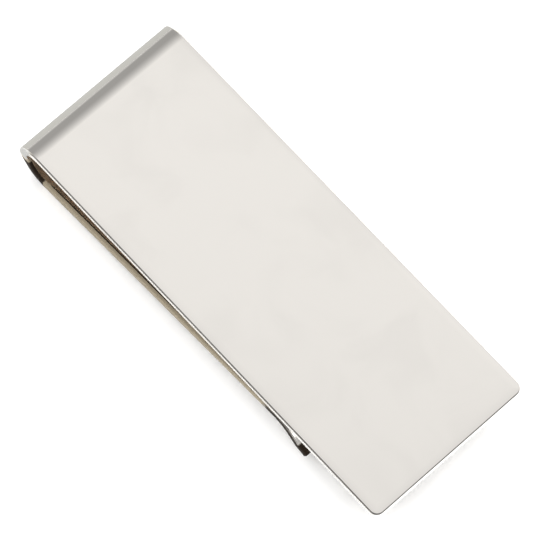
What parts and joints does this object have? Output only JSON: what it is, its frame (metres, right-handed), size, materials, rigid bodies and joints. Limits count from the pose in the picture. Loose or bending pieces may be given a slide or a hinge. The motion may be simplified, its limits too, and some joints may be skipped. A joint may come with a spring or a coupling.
{
  "type": "money clip",
  "caption": "Slim folded money clip: a flat polished front plate, a rounded fold and a sprung leaf under it that rises to a gripping crest and ends in a flared tip.",
  "frame": {"origin": "centre of the bounding box in plan, on the surface that the clip lies on with its plate up", "axes": "+X from the fold to the free end of the plate, +Y across the strip, +Z out of the plate's outer face"},
  "size_m": [0.051, 0.019, 0.0063],
  "materials": {
    "polished_silver": "hand-polished silver, faintly warm, with very fine wiping marks and softened edges"
  },
  "bodies": {
    "leaf": {"lower_bend": "polished_silver", "shoulder": "polished_silver", "knee_bend": "polished_silver", "spring_leaf": "polished_silver", "crest_bend": "polished_silver", "lift_tip": "polished_silver"},
    "plate": {"front_plate": "polished_silver", "upper_bend": "polished_silver"}
  },
  "joints": [
    {"name": "fold_flex", "type": "hinge", "parent": "leaf", "child": "plate", "pos_m": [-0.025, 0, 0.00335], "axis": [0, -1, 0], "range_deg": [0, 7], "stiffness_Nm_per_rad": 8, "springref_deg": -1.49}
  ]
}
